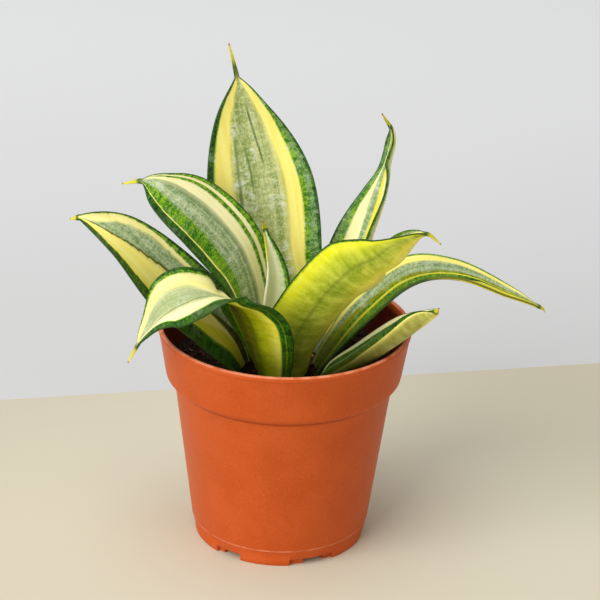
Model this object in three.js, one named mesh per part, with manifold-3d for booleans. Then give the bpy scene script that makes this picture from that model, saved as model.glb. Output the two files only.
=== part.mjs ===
// A young snake plant in a terracotta-coloured plastic pot, in millimetres, +Z up.
// The origin is on the surface that the pot stands on, below the middle of the plant's spread, and
// -Y is the front. Everything is laid out round the pot's own axis, which stands a little to the
// left of that middle, because the longest leaf reaches out to the right.

import * as THREE from 'three';
import { mergeVertices } from 'three/addons/utils/BufferGeometryUtils.js';
import Module from 'manifold-3d';

const wasm = await Module();
wasm.setup();

const GAP = 0.3; // between pieces that touch
const POT_AXIS_X = -9.2;

// ---------- pot ----------
const POT_HEIGHT = 95;
const RIM_RADIUS = 52.5; // outside of the lip
const BAND_RADIUS = 49.3; // foot of the band under the lip
const BAND_BOTTOM = 75;
const SHOULDER_RADIUS = 45.6; // top of the tapered body
const SHOULDER = 71;
const LEDGE_RADIUS = 37.5; // moulded line above the foot
const LEDGE_HEIGHT = 7.6;
const LEDGE_STEP = 0.5;
const FOOT_RADIUS = 36;
const WALL = 1.4;
const LIP_WALL = 2; // the bead round the mouth is thicker than the wall
const LIP_HEIGHT = 2.4;
const LIP_STEP = 0.4;
const LIP_ROUND = 0.5;
const FLOOR_BOTTOM = 4; // the floor is held up by the foot ring
const FLOOR_TOP = 5.8;
const FOOT_WALL = 3;
const POT_SIDES = 60;

// ---------- openings in the foot and floor ----------
const NOTCHES = 6;
const FIRST_NOTCH = -66; // degrees round from +X
const NOTCH_HEIGHT = 3;
// Wide and narrow notches take turns. Cut is what a notch leaves open in the outer half of the foot's
// wall and throat in its inner half, in degrees round from the notch's middle.
const NOTCH_KINDS = [
  { cut: [-15.6, 15], throat: [-6.2, 8.5] },
  { cut: [-8.8, 10], throat: [-3.6, 10] },
];
const DRAIN_RADIUS = 4.5;
const DRAIN_CIRCLE = 26;

// ---------- soil and crown ----------
const SOIL_TOP = 77;
const SOIL_MOUND = 1.5; // the middle stands this much above the edge
const CROWN_RADIUS = 19;
const CROWN_TOP = 73;
const CROWN_FORWARD = 7; // the plant stands before the pot's axis
const CROWN_HEIGHT = 18;
const CROWN_EDGE = 4;
const CROWN_SIDES = 24;
const SOIL_SIDES = 48;

// ---------- leaves ----------
const BLADE_SECTIONS = 19;
const SPINE_SECTIONS = 4; // on the dry spine at the leaf's tip
const STRIPS = 6; // from margin to margin
const LEAF_MIDDLE = 2.2; // thickness at the midrib
const LEAF_EDGE = 0.9; // thickness at the margins
const THINNING = 0.4; // share of the thickness that is gone at the tip
const SPINE_WIDTH = 1.8; // where the spine leaves the blade
const SPINE_END = 0.5;

// Each midrib runs from the crown to the end of the spine. At each of its points, side is the way to
// the leaf's left margin, as degrees round from +X and degrees above the level, and curl is how far
// the left and the right half of the blade curl towards its upper face, in degrees. Widest is the
// place of the full width along the blade, foot the share of that width at the crown, and taper how
// full the blade is towards its tip.
const LEAVES = [
  {
    name: 'leaf_heart', width: 17.9, spine: 5, widest: 0.4, foot: 0.5, taper: 1.8,
    midrib: [[1, -6.8, 69.3], [-3.9, -4.8, 97.1], [-3.9, -2.3, 119], [-8.9, -0.8, 135.8],
      [-9.9, -2.8, 140.8]],
    side: [[186, 0], [186, 0], [188, 0], [190, 0], [191, 0]],
    curl: [[107, 107], [107, 107], [97, 97], [97, 97], [97, 97]],
  },
  {
    name: 'leaf_tall_back', width: 47.1, spine: 14, widest: 0.54, foot: 0.28, taper: 2.3,
    midrib: [[0, 2.7, 69.3], [0, 10.1, 94.2], [-7.9, 15.1, 119.5], [-12.4, 21, 146.8],
      [-19.3, 30, 171.6], [-22.3, 33.9, 187.5], [-26.3, 33.9, 203.8]],
    side: [[181, 0], [183, 0], [185, 0], [193, 4], [197, 7], [192, 7], [188, 5]],
    curl: [[44, 40], [19, 15], [17, 13], [14, 10], [14, 10], [24, 20], [24, 20]],
  },
  {
    name: 'leaf_front_right', width: 42.3, spine: 8, widest: 0.65, foot: 0.31, taper: 3.3,
    midrib: [[3.7, -13.7, 68.2], [4.7, -18.7, 93.6], [17.4, -25.2, 117], [30.6, -29.6, 130.3],
      [42.3, -32.1, 138.1], [53.1, -31.6, 149.9], [60.6, -33.1, 146.3]],
    side: [[27, 0], [22, -12], [24, -9], [16, -10], [44, -19], [64, -25], [55, -22]],
    curl: [[64, 45], [60, 11], [52, 18], [66, 34], [118, 40], [110, 14], [60, 20]],
  },
  {
    name: 'leaf_upper_left', width: 33.7, spine: 8, widest: 0.59, foot: 0.34, taper: 2.8,
    midrib: [[-7.4, -6.8, 69.3], [-12.9, -4.3, 98.6], [-20.8, -4.3, 124.4], [-35.7, -3.8, 142.3],
      [-49.6, -2.8, 152.2], [-58.5, 0.2, 155.7], [-67.4, 2.2, 153.7]],
    side: [[262, -10], [252, -48], [249, -45], [251, -44], [246, -54], [238, -59], [235, -62]],
    curl: [[50, 30], [40, 20], [34, 14], [34, 14], [39, 19], [44, 24], [44, 24]],
  },
  {
    name: 'leaf_back_right', width: 25.7, spine: 10, widest: 0.49, foot: 0.42, taper: 2.2,
    midrib: [[10, 4.2, 71], [21, 15, 97], [30.6, 23.1, 123.7], [37.9, 33.1, 142.3],
      [40.8, 38.4, 153.4], [42, 37, 165.5], [37.2, 30.4, 176.8]],
    side: [[140, 0], [143, 0], [135, -3], [119, -5], [106, -9], [127, -6], [148, -1]],
    curl: [[41, 80], [39, 82], [34, 84], [15, 50], [14, 58], [38, 89], [52, 99]],
  },
  {
    name: 'leaf_front_left', width: 37.7, spine: 8, widest: 0.52, foot: 0.23, taper: 2.1,
    midrib: [[-3.9, -22.1, 71.3], [-11.6, -29.1, 109.5], [-22.8, -33.1, 120], [-35.2, -35, 121.9],
      [-47.1, -35.5, 117.5], [-55.5, -36.5, 106.1], [-62, -38.5, 93.2]],
    side: [[314, -6], [327, -9], [324, -1], [304, -8], [282, -31], [269, -36], [290, -50]],
    curl: [[44, 44], [4, 4], [19, 19], [9, 9], [15, 15], [17, 17], [46, 46]],
  },
  {
    name: 'leaf_far_right', width: 22.3, spine: 5, widest: 0.46, foot: 0.38, taper: 2.2,
    midrib: [[9.2, -12, 69.3], [18.6, -8.3, 84.3], [32.8, -5.8, 104.1], [49.7, -5.8, 120.5],
      [69, -6.8, 122.9], [90.4, -8.2, 115.5], [103.8, -9.2, 110], [106.2, -7.7, 107.1]],
    side: [[92, 10], [97, 21], [101, 22], [104, 15], [97, 10], [94, 18], [92, 21], [91, 19]],
    curl: [[36, 72], [28, 66], [18, 46], [13, 41], [13, 41], [18, 46], [43, 71], [43, 71]],
  },
  {
    name: 'leaf_far_left', width: 31.8, spine: 4, widest: 0.5, foot: 0.42, taper: 2.4,
    midrib: [[-13.4, -5.8, 69.3], [-21.8, -10.7, 87.2], [-33.7, -11.7, 101.6], [-50.6, -11.7, 118],
      [-67.4, -10.7, 135.3], [-81.3, -8.7, 142.3], [-87.8, -5.8, 140.8]],
    side: [[268, -15], [260, -42], [262, -46], [265, -48], [267, -43], [261, -48], [257, -51]],
    curl: [[40, 40], [45, 45], [45, 45], [43, 43], [45, 45], [65, 65], [75, 75]],
  },
  {
    name: 'leaf_low_right', width: 26.8, spine: 4, widest: 0.65, foot: 0.32, taper: 2.4,
    midrib: [[12.5, -19.7, 69.3], [19.9, -25.1, 82.7], [32.3, -26.6, 91.2], [48.7, -26.6, 103.6],
      [58.6, -27.6, 112.5], [61.1, -32.6, 118.5]],
    side: [[77, 0], [88, -5], [87, -6], [81, -6], [66, -16], [58, -20]],
    curl: [[43, 77], [48, 82], [53, 87], [58, 92], [71, 105], [71, 105]],
  },
];

// ---------- helpers ----------
const rad = THREE.MathUtils.degToRad;
const vec = (x, y, z) => new THREE.Vector3(x, y, z);

// Catmull-Rom through a list of number lists, at t from 0 to 1; the ends run straight on.
function between(rows, t) {
  const last = rows.length - 1;
  const at = Math.min(Math.max(t, 0), 1) * last;
  const i = Math.min(Math.floor(at), last - 1);
  const w = at - i;
  return rows[0].map((_, k) => {
    const b = rows[i][k];
    const c = rows[i + 1][k];
    const a = i > 0 ? rows[i - 1][k] : 2 * b - c;
    const d = i + 2 <= last ? rows[i + 2][k] : 2 * c - b;
    const leave = (c - a) / 2;
    const arrive = (d - b) / 2;
    return (2 * b - 2 * c + leave + arrive) * w ** 3
      + (3 * c - 3 * b - 2 * leave - arrive) * w ** 2 + leave * w + b;
  });
}

function solidOf(geometry) {
  const bare = geometry.clone();
  bare.deleteAttribute('normal');
  bare.deleteAttribute('uv');
  const merged = mergeVertices(bare);
  return new wasm.Manifold(new wasm.Mesh({
    numProp: 3,
    vertProperties: merged.attributes.position.array,
    triVerts: Uint32Array.from(merged.index.array),
  }));
}

function geometryOf(solid) {
  const mesh = solid.getMesh();
  const geometry = new THREE.BufferGeometry();
  geometry.setAttribute('position', new THREE.BufferAttribute(mesh.vertProperties, 3));
  geometry.setIndex(new THREE.BufferAttribute(mesh.triVerts, 1));
  geometry.computeVertexNormals();
  return geometry;
}

function piece(name, geometry, material) {
  const mesh = new THREE.Mesh(geometry, material);
  mesh.name = name;
  return mesh;
}

// A body of revolution round +Z from a profile of [radius, height] points.
function turned(profile, sides) {
  const geometry = new THREE.LatheGeometry(profile.map(([r, z]) => new THREE.Vector2(r, z)), sides);
  geometry.rotateX(Math.PI / 2);
  return geometry;
}

// ---------- pot ----------
const INNER_SHOULDER = SHOULDER - 1.2;
const INNER_RINGS = [
  [FOOT_RADIUS + 0.5 - WALL, FLOOR_TOP], [SHOULDER_RADIUS - WALL, INNER_SHOULDER],
  [BAND_RADIUS - WALL, BAND_BOTTOM], [RIM_RADIUS - LIP_WALL, POT_HEIGHT - LIP_ROUND],
];

// The outline of floor and wall, from the underside of the floor out, up and back down inside.
function potProfile() {
  const footInside = FOOT_RADIUS - FOOT_WALL;
  return [
    [0, FLOOR_BOTTOM], [footInside, FLOOR_BOTTOM], [footInside, 0], [FOOT_RADIUS, 0],
    [LEDGE_RADIUS - LEDGE_STEP, LEDGE_HEIGHT - LEDGE_STEP], [LEDGE_RADIUS, LEDGE_HEIGHT],
    [SHOULDER_RADIUS, SHOULDER], [SHOULDER_RADIUS + 2.2, SHOULDER + 1.1],
    [BAND_RADIUS - 0.3, SHOULDER + 2.6], [BAND_RADIUS, BAND_BOTTOM],
    [RIM_RADIUS - LIP_STEP, POT_HEIGHT - LIP_HEIGHT], [RIM_RADIUS, POT_HEIGHT - LIP_HEIGHT + LIP_STEP],
    [RIM_RADIUS, POT_HEIGHT - LIP_ROUND], [RIM_RADIUS - LIP_ROUND, POT_HEIGHT],
    [RIM_RADIUS - LIP_WALL + LIP_ROUND, POT_HEIGHT],
    ...INNER_RINGS.toReversed(), [0, FLOOR_TOP],
  ];
}

// The inside of the pot at a height, from its rings of [radius, height].
function innerRadius(z) {
  const above = INNER_RINGS.findIndex(([, height]) => height >= z);
  const [lowRadius, low] = INNER_RINGS[above - 1];
  const [highRadius, high] = INNER_RINGS[above];
  return lowRadius + (highRadius - lowRadius) * (z - low) / (high - low);
}

// A piece of a ring round the axis, from the height -1 up, middle and arc in degrees.
function ringPiece(inner, outer, top, middle, [from, to]) {
  const outline = new THREE.Shape();
  outline.absarc(0, 0, outer, rad(middle + from), rad(middle + to), false);
  outline.absarc(0, 0, inner, rad(middle + to), rad(middle + from), true);
  const geometry = new THREE.ExtrudeGeometry(outline, {
    depth: top + 1, bevelEnabled: false, curveSegments: 6,
  });
  geometry.translate(0, 0, -1);
  return solidOf(geometry);
}

function makePot() {
  let pot = solidOf(turned(potProfile(), POT_SIDES));
  const footMiddle = FOOT_RADIUS - FOOT_WALL / 2;
  for (let i = 0; i < NOTCHES; i += 1) {
    const middle = FIRST_NOTCH + i * 360 / NOTCHES;
    const { cut, throat } = NOTCH_KINDS[i % NOTCH_KINDS.length];
    const outerCut = ringPiece(footMiddle, FOOT_RADIUS + 3, NOTCH_HEIGHT, middle, cut);
    const innerCut = ringPiece(
      FOOT_RADIUS - FOOT_WALL - 1, footMiddle + 0.5, NOTCH_HEIGHT, middle, throat,
    );
    const drain = new THREE.CylinderGeometry(DRAIN_RADIUS, DRAIN_RADIUS, FLOOR_TOP, 20);
    drain.rotateX(Math.PI / 2);
    drain.translate(DRAIN_CIRCLE, 0, FLOOR_TOP - 1);
    drain.rotateZ(rad(middle));
    pot = pot.subtract(outerCut).subtract(innerCut).subtract(solidOf(drain));
  }
  return pot;
}

// ---------- leaves ----------
// Half the width of a leaf at a share s of its blade.
function halfWidth({ width, widest, foot, taper }, s) {
  const share = s < widest
    ? foot + (1 - foot) * (1 - (1 - s / widest) ** 2)
    : 1 - ((s - widest) / (1 - widest)) ** taper;
  return share * width / 2;
}

// The sections of a leaf, each with its middle, its side and face directions, and its sizes.
function leafSections(leaf) {
  const samples = 200;
  const step = 0.001;
  const point = (t) => vec(...between(leaf.midrib, t));
  const travelled = [0];
  for (let i = 1; i <= samples; i += 1) {
    travelled.push(travelled[i - 1] + point(i / samples).distanceTo(point((i - 1) / samples)));
  }
  const length = travelled[samples];
  const blade = length - leaf.spine;
  const placeOf = (distance) => {
    const i = Math.max(1, travelled.findIndex((d) => d >= distance - 1e-9));
    return (i - 1 + (distance - travelled[i - 1]) / (travelled[i] - travelled[i - 1])) / samples;
  };
  const distances = [];
  for (let i = 0; i < BLADE_SECTIONS; i += 1) distances.push(blade * i / BLADE_SECTIONS);
  for (let i = 0; i <= SPINE_SECTIONS; i += 1) {
    distances.push(blade + leaf.spine * i / SPINE_SECTIONS);
  }
  return distances.map((distance) => {
    const t = placeOf(distance);
    const along = point(t + step).sub(point(t - step)).normalize();
    const [turn, rise] = between(leaf.side, t).map(rad);
    const side = vec(Math.cos(turn) * Math.cos(rise), Math.sin(turn) * Math.cos(rise), Math.sin(rise));
    side.addScaledVector(along, -side.dot(along)).normalize();
    const [left, right] = between(leaf.curl, t).map(rad);
    const share = Math.min(distance / blade, 1);
    const onSpine = Math.max((distance - blade) / leaf.spine, 0);
    return {
      middle: point(t), side, face: along.clone().cross(side), left, right,
      half: Math.max(halfWidth(leaf, share), (SPINE_WIDTH * (1 - onSpine) + SPINE_END * onSpine) / 2),
      thin: 1 - THINNING * share,
    };
  });
}

// A point of a section: u runs from -1 at the right margin to 1 at the left one. The upper face is
// the surface through the midrib, and the lower face lies one thickness behind it.
function leafPoint(section, u, lower, margin) {
  const curl = u > 0 ? section.left : section.right;
  const angle = Math.abs(u) * curl * (1 + margin / section.half);
  const reach = section.half / curl;
  const edge = Math.min(LEAF_EDGE, section.half);
  const middle = Math.min(LEAF_MIDDLE * section.thin, section.half * 1.4);
  const depth = lower ? -edge - (middle - edge) * (1 - u * u) - margin : margin;
  return section.middle.clone()
    .addScaledVector(section.side, Math.sign(u) * (reach - depth) * Math.sin(angle))
    .addScaledVector(section.face, reach - (reach - depth) * Math.cos(angle));
}

// A leaf as one closed skin; margin is how far it stands outside the leaf's own surface.
function leafGeometry(leaf, margin = 0) {
  const sections = leafSections(leaf);
  const across = Array.from({ length: STRIPS + 1 }, (_, i) => 1 - 2 * i / STRIPS);
  const ring = [
    ...across.map((u) => [u, false]),
    ...across.toReversed().map((u) => [u, true]),
  ];
  const points = sections.flatMap((s) => ring.map(([u, lower]) => leafPoint(s, u, lower, margin)));
  const triangles = [];
  const n = ring.length;
  for (let i = 0; i < sections.length - 1; i += 1) {
    for (let j = 0; j < n; j += 1) {
      const a = i * n + j;
      const b = i * n + (j + 1) % n;
      triangles.push(a, b, a + n, b, b + n, a + n);
    }
  }
  const end = (sections.length - 1) * n;
  for (let j = 0; j < STRIPS; j += 1) {
    const up = [j, j + 1];
    const low = [n - 1 - j, n - 2 - j];
    triangles.push(up[0], low[1], up[1], up[0], low[0], low[1]);
    triangles.push(end + up[0], end + up[1], end + low[1], end + up[0], end + low[1], end + low[0]);
  }
  const geometry = new THREE.BufferGeometry().setFromPoints(points);
  geometry.setIndex(triangles);
  geometry.computeVertexNormals();
  return geometry;
}

// Everything up to a height, as a block wider than the pot.
function blockBelow(height) {
  const block = new THREE.BoxGeometry(4 * RIM_RADIUS, 4 * RIM_RADIUS, 2 * POT_HEIGHT);
  block.translate(0, 0, height - POT_HEIGHT);
  return solidOf(block);
}

// Leaves start flat on the crown.
function makeLeaf(leaf) {
  return solidOf(leafGeometry(leaf)).subtract(blockBelow(CROWN_TOP + GAP));
}

// ---------- crown and soil ----------
function crownGeometry(margin) {
  const geometry = turned(crownProfile(margin), CROWN_SIDES);
  geometry.translate(0, -CROWN_FORWARD, 0);
  return geometry;
}

function crownProfile(margin) {
  const bottom = CROWN_TOP - CROWN_HEIGHT;
  return [
    [0, bottom - margin], [CROWN_RADIUS * 0.6 + margin, bottom + 1 - margin],
    [CROWN_RADIUS - 1 + margin, bottom + CROWN_HEIGHT * 0.45],
    [CROWN_RADIUS + margin, CROWN_TOP - CROWN_EDGE], [CROWN_RADIUS - 1 + margin, CROWN_TOP + margin],
    [0, CROWN_TOP + margin],
  ];
}

function soilProfile() {
  const wall = (z) => [innerRadius(z) - GAP, z];
  return [
    [0, FLOOR_TOP + GAP], [innerRadius(FLOOR_TOP + GAP) - 1, FLOOR_TOP + GAP],
    wall(FLOOR_TOP + 1.5), wall(INNER_SHOULDER), wall(BAND_BOTTOM), wall(SOIL_TOP),
    [CROWN_RADIUS * 1.8, SOIL_TOP + SOIL_MOUND / 2], [0, SOIL_TOP + SOIL_MOUND],
  ];
}

// The soil fills the pot round the crown and the feet of the leaves. What little is closed in
// between the leaves is left out, so that the soil stays one body.
function makeSoil() {
  let soil = solidOf(turned(soilProfile(), SOIL_SIDES));
  soil = soil.subtract(solidOf(crownGeometry(GAP)));
  for (const leaf of LEAVES) soil = soil.subtract(solidOf(leafGeometry(leaf, GAP)));
  const bodies = soil.decompose();
  return bodies.reduce((most, body) => (body.volume() > most.volume() ? body : most));
}

// ---------- the whole plant ----------
const plastic = new THREE.MeshStandardMaterial({ color: 0xc9603a, roughness: 0.5, metalness: 0 });
const pottingMix = new THREE.MeshStandardMaterial({ color: 0x2a1a12, roughness: 0.95, metalness: 0 });
const stem = new THREE.MeshStandardMaterial({ color: 0xb9a86a, roughness: 0.7, metalness: 0 });
const blade = new THREE.MeshStandardMaterial({ color: 0x8da24a, roughness: 0.4, metalness: 0 });

const plant = new THREE.Group();
plant.position.x = POT_AXIS_X;
plant.add(piece('pot', geometryOf(makePot()), plastic));
plant.add(piece('soil', geometryOf(makeSoil()), pottingMix));
plant.add(piece('crown', crownGeometry(0), stem));
for (const leaf of LEAVES) plant.add(piece(leaf.name, geometryOf(makeLeaf(leaf)), blade));

export default plant;
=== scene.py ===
"""A young variegated snake plant in a moulded plastic nursery pot, in metres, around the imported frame."""

import math
import random

import bmesh
import bpy
from mathutils import Matrix, Vector, noise


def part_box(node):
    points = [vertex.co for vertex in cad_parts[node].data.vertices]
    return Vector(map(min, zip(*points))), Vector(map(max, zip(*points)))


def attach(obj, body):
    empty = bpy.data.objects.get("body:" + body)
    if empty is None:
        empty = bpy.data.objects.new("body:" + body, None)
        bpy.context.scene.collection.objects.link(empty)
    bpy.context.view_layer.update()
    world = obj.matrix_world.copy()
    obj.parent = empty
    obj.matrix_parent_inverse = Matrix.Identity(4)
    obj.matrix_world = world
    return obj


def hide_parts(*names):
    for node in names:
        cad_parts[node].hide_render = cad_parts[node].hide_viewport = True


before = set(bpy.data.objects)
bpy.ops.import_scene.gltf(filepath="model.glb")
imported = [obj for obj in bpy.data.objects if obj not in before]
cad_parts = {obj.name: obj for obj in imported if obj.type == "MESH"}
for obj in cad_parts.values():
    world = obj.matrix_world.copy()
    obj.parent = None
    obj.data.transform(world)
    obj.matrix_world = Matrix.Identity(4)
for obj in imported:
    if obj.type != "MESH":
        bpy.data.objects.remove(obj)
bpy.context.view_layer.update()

pot_low, pot_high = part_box("pot")
POT_AXIS = Vector(((pot_low.x + pot_high.x) / 2, (pot_low.y + pot_high.y) / 2, 0))
MM = 0.001
UP = Vector((0, 0, 1))

# ---------- camera ----------
PICTURE = 600  # the picture's sides, in pixels
FLOOR_END_LEFT = 400  # pixel rows where the floor ends at the picture's left and right side
FLOOR_END_RIGHT = 363
SENSOR = 36.0
LENS = 144.0
CAMERA_TARGET = Vector((0.0, 0.0, 45.0)) * MM  # from the pot's axis
CAMERA_DISTANCE = 1013.1 * MM
CAMERA_PITCH = math.radians(24.31)
CAMERA_ROLL = math.radians(1.78)
CAMERA_RIGHT = 5.9 * MM
CAMERA_UP = 55.1 * MM

sight = Vector((0, math.cos(CAMERA_PITCH), -math.sin(CAMERA_PITCH)))
level_right = Vector((1, 0, 0))
level_up = Vector((0, math.sin(CAMERA_PITCH), math.cos(CAMERA_PITCH)))
camera_x = level_right * math.cos(CAMERA_ROLL) + level_up * math.sin(CAMERA_ROLL)
camera_y = level_up * math.cos(CAMERA_ROLL) - level_right * math.sin(CAMERA_ROLL)
camera_place = (
    POT_AXIS + CAMERA_TARGET - sight * CAMERA_DISTANCE + level_right * CAMERA_RIGHT + level_up * CAMERA_UP
)
camera_data = bpy.data.cameras.new("camera")
camera_data.lens = LENS
camera_data.sensor_width = SENSOR
camera_data.clip_start = 0.02
camera_data.clip_end = 50
camera = bpy.data.objects.new("camera", camera_data)
camera.matrix_world = Matrix.Translation(camera_place) @ Matrix(
    (
        (camera_x.x, camera_y.x, -sight.x, 0),
        (camera_x.y, camera_y.y, -sight.y, 0),
        (camera_x.z, camera_y.z, -sight.z, 0),
        (0, 0, 0, 1),
    )
)
bpy.context.scene.collection.objects.link(camera)
bpy.context.scene.camera = camera
bpy.context.scene.view_settings.view_transform = "Standard"


def on_floor(column, row):
    """The point of the floor that a pixel of the picture shows."""
    focal = LENS / SENSOR * PICTURE
    ray = sight * focal + camera_x * (column - PICTURE / 2) - camera_y * (row - PICTURE / 2)
    return camera_place + ray * (-camera_place.z / ray.z)


# ---------- helpers ----------
def linear(red, green, blue, alpha=1.0):
    """An 8-bit screen colour as the linear colour a shader socket takes."""
    share = [c / 255 for c in (red, green, blue)]
    return (*[c / 12.92 if c <= 0.04045 else ((c + 0.055) / 1.055) ** 2.4 for c in share], alpha)


def node(tree, kind, inputs=None, **settings):
    """A shader node with its settings, and its sockets linked or set."""
    made = tree.nodes.new("ShaderNode" + kind)
    for name, value in settings.items():
        setattr(made, name, value)
    for socket, value in (inputs or {}).items():
        if isinstance(value, bpy.types.NodeSocket):
            tree.links.new(value, made.inputs[socket])
        else:
            made.inputs[socket].default_value = value
    return made


def sums(tree, operation, *values, clamp=False):
    """Values brought together by one operation, from the first to the last."""
    result = values[0]
    for value in values[1:]:
        result = node(tree, "Math", {0: result, 1: value}, operation=operation, use_clamp=clamp).outputs[0]
    return result


def centred(tree, value, amount):
    """Noise moved from about a half to about nought, and scaled."""
    return sums(tree, "MULTIPLY", sums(tree, "SUBTRACT", value, 0.5), amount)


def mixed(tree, factor, a, b):
    """One colour passing into another."""
    return node(tree, "Mix", {0: factor, 6: a, 7: b}, data_type="RGBA").outputs[2]


def blended(tree, factor, a, b):
    """One number passing into another."""
    return node(tree, "Mix", {0: factor, 2: a, 3: b}, data_type="FLOAT").outputs[0]


def attribute(tree, name):
    """A number that the mesh keeps on its vertices."""
    return node(tree, "Attribute", attribute_name=name).outputs[2]


def between(tree, value, low, high, start=0.0, end=1.0):
    """Value brought smoothly from low..high to start..end."""
    return node(
        tree, "MapRange", {0: value, 1: low, 2: high, 3: start, 4: end}, interpolation_type="SMOOTHSTEP"
    ).outputs[0]


def grain(tree, vector, scale, detail, roughness, place=(0, 0, 0), scales=(1, 1, 1), distortion=0.0):
    """Noise over a vector that is first moved and stretched."""
    mapped = node(tree, "Mapping", {0: vector, 1: place, 3: scales}).outputs[0]
    inputs = {"Vector": mapped, "Scale": scale, "Detail": detail, "Roughness": roughness}
    return node(tree, "TexNoise", inputs | {"Distortion": distortion}).outputs[0]


def ramp(tree, value, stops):
    """A colour ramp through stops, each (position, colour)."""
    made = node(tree, "ValToRGB", {0: value})
    elements = made.color_ramp.elements
    while len(elements) > 1:
        elements.remove(elements[-1])
    elements[0].position, elements[0].color = stops[0]
    for position, colour in stops[1:]:
        elements.new(position).color = colour
    return made


def bumped(tree, *layers):
    """Bump nodes in a chain, each (height, strength, depth in mm)."""
    normal = None
    for height, strength, depth in layers:
        inputs = {"Height": height, "Strength": strength, "Distance": depth * MM}
        if normal:
            inputs["Normal"] = normal
        normal = node(tree, "Bump", inputs).outputs[0]
    return normal


def finish_skin(tree, **inputs):
    """The surface shader with its constant values on its own sockets."""
    names = {key.replace("_", " "): value for key, value in inputs.items()}
    shader = node(tree, "BsdfPrincipled", names)
    node(tree, "OutputMaterial", {0: shader.outputs[0]})


def new_material(name):
    material = bpy.data.materials.new(name)
    material.use_nodes = True
    material.node_tree.nodes.clear()
    return material, material.node_tree


def add_piece(name, bm, materials, smooth=True):
    """A Blender object of a bmesh, at the origin, with its materials."""
    mesh = bpy.data.meshes.new(name)
    for face in bm.faces:
        face.smooth = smooth
    bm.to_mesh(mesh)
    bm.free()
    made = bpy.data.objects.new(name, mesh)
    for material in materials:
        mesh.materials.append(material)
    bpy.context.scene.collection.objects.link(made)
    return made


# ---------- leaf tissue ----------
TISSUES = {  # light tone, dark tone, and how much green pigment there is
    "deep_green": ((64, 120, 18), (14, 50, 12), 1.0),
    "green": ((138, 180, 32), (40, 106, 8), 1.0),
    "frosted_green": ((140, 172, 104), (50, 106, 28), 0.9),
    "grey_green": ((192, 204, 160), (104, 134, 74), 0.45),
    "sage": ((206, 211, 150), (122, 144, 66), 0.5),
    # the dark olive of the folds is partly the leaf's own dark olive and partly painted shade, in the folds
    # and under the leaves above
    "fold_shade": ((112, 110, 26), (68, 76, 8), 0.2),
    "grey": ((192, 199, 150), (152, 166, 110), 0.3),
    "lime": ((210, 210, 34), (160, 170, 12), 0.25),
    "olive": ((166, 170, 18), (104, 122, 4), 0.4),
    "bright_lime": ((243, 240, 52), (212, 216, 22), 0.2),
    "sulphur": ((248, 250, 76), (228, 232, 22), 0.2),
    "gold": ((248, 242, 104), (226, 222, 50), 0.2),
    "moss": ((216, 226, 86), (130, 160, 22), 0.3),
    "khaki": ((196, 193, 100), (144, 142, 48), 0.3),
    "yellow": ((243, 230, 78), (226, 214, 48), 0.1),
    "lemon": ((250, 239, 140), (245, 230, 116), 0.05),
    "pale_lemon": ((252, 242, 170), (244, 234, 144), 0.03),
    "cream": ((246, 241, 190), (238, 232, 166), 0.0),
    "ivory": ((254, 252, 222), (246, 244, 202), 0.0),
}
PALE = set(TISSUES) - {"deep_green", "green", "frosted_green"}
GREEN_EDGE = (112, 158, 28)  # where dark green passes into pale tissue
MARGIN_GREEN = (38, 70, 20)  # the thin dark line round a leaf
VEIN_GREEN = (52, 88, 30)
# painted shade along a fold
FOLD_SHADE_OLIVE = (92, 92, 16)
LINE_GREEN = (158, 178, 40)
# painted shade that darkens the base of the leaves
FOOT_SHADE = (52, 60, 4)
WAXY_WHITE = (222, 228, 204)
PALE_SPECK = (200, 212, 170)
SPINE_GREEN = (44, 82, 18)
SPINE_YELLOWS = (196, 192, 44), (222, 206, 70)
SPINE_BROWN = (120, 74, 30)
CRISP = 0.12  # how softly a stripe meets deep green, as a share of its width
LINE_FADE = 8  # mm over which a thin line comes and goes at its ends
SKIN_GRAINS = {  # noise on the blade map: scale across and along the leaf, detail, roughness, distortion
    "cross": (120, 560, 3, 0.6, 0.4),
    "fibres": (1300, 34, 3, 0.6, 0.0),
    "grit": (1500, 1100, 3, 0.65, 0.0),
    "patches": (120, 70, 2, 0.5, 0.6),
    "veil": (170, 300, 4, 0.75, 0.2),
    "ribs": (520, 11, 2, 0.5, 0.0),
    "bands": (75, 290, 3, 0.6, 0.6),
}


def stripe_stops(tissues, tone, blur):
    """Ramp stops that pass softly from one stripe's tone to the next one's."""
    count = len(tissues)

    def softness(edge):
        """The share of a stripe that passes into its neighbour, none at a margin."""
        if edge in (0, count):
            return 0
        return min(blur, CRISP) if "deep_green" in tissues[edge - 1:edge + 1] else blur

    stops = []
    for i, tissue in enumerate(tissues):
        colour = linear(*TISSUES[tissue][tone], TISSUES[tissue][2])
        stops.append(((i + softness(i)) / count, colour))
        stops.append(((i + 1 - softness(i + 1)) / count, colour))
        pair = set(tissues[i:i + 2])
        if "deep_green" in pair and pair & PALE:
            stops.append(((i + 1) / count, linear(*GREEN_EDGE, 0.8)))
    return stops


def add_lines(tree, colour, lines, distance, side, veil, grit):
    """Thin veins, and painted shade along folds, over a leaf's colour, each fading out at both ends."""
    for number, (face, at, _, width, shade, strength) in enumerate(lines):
        gap = sums(tree, "ADD", attribute(tree, f"line_{number}"), centred(tree, veil, width * 0.5 * MM))
        gap = node(tree, "Math", {0: gap}, operation="ABSOLUTE").outputs[0]
        line = sums(
            tree, "MULTIPLY",
            between(tree, gap, width * 0.2 * MM, width * 0.65 * MM, strength, 0.0),
            between(tree, distance, at[0] * MM, (at[0] + LINE_FADE) * MM),
            between(tree, distance, at[-1] * MM, (at[-1] - LINE_FADE) * MM),
            side if face == "upper" else sums(tree, "SUBTRACT", 1.0, side),
            between(tree, grit, 0.35, 0.6, 1.0, 0.5),
        )
        colour = mixed(tree, line, colour, linear(*shade))
    return colour


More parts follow.
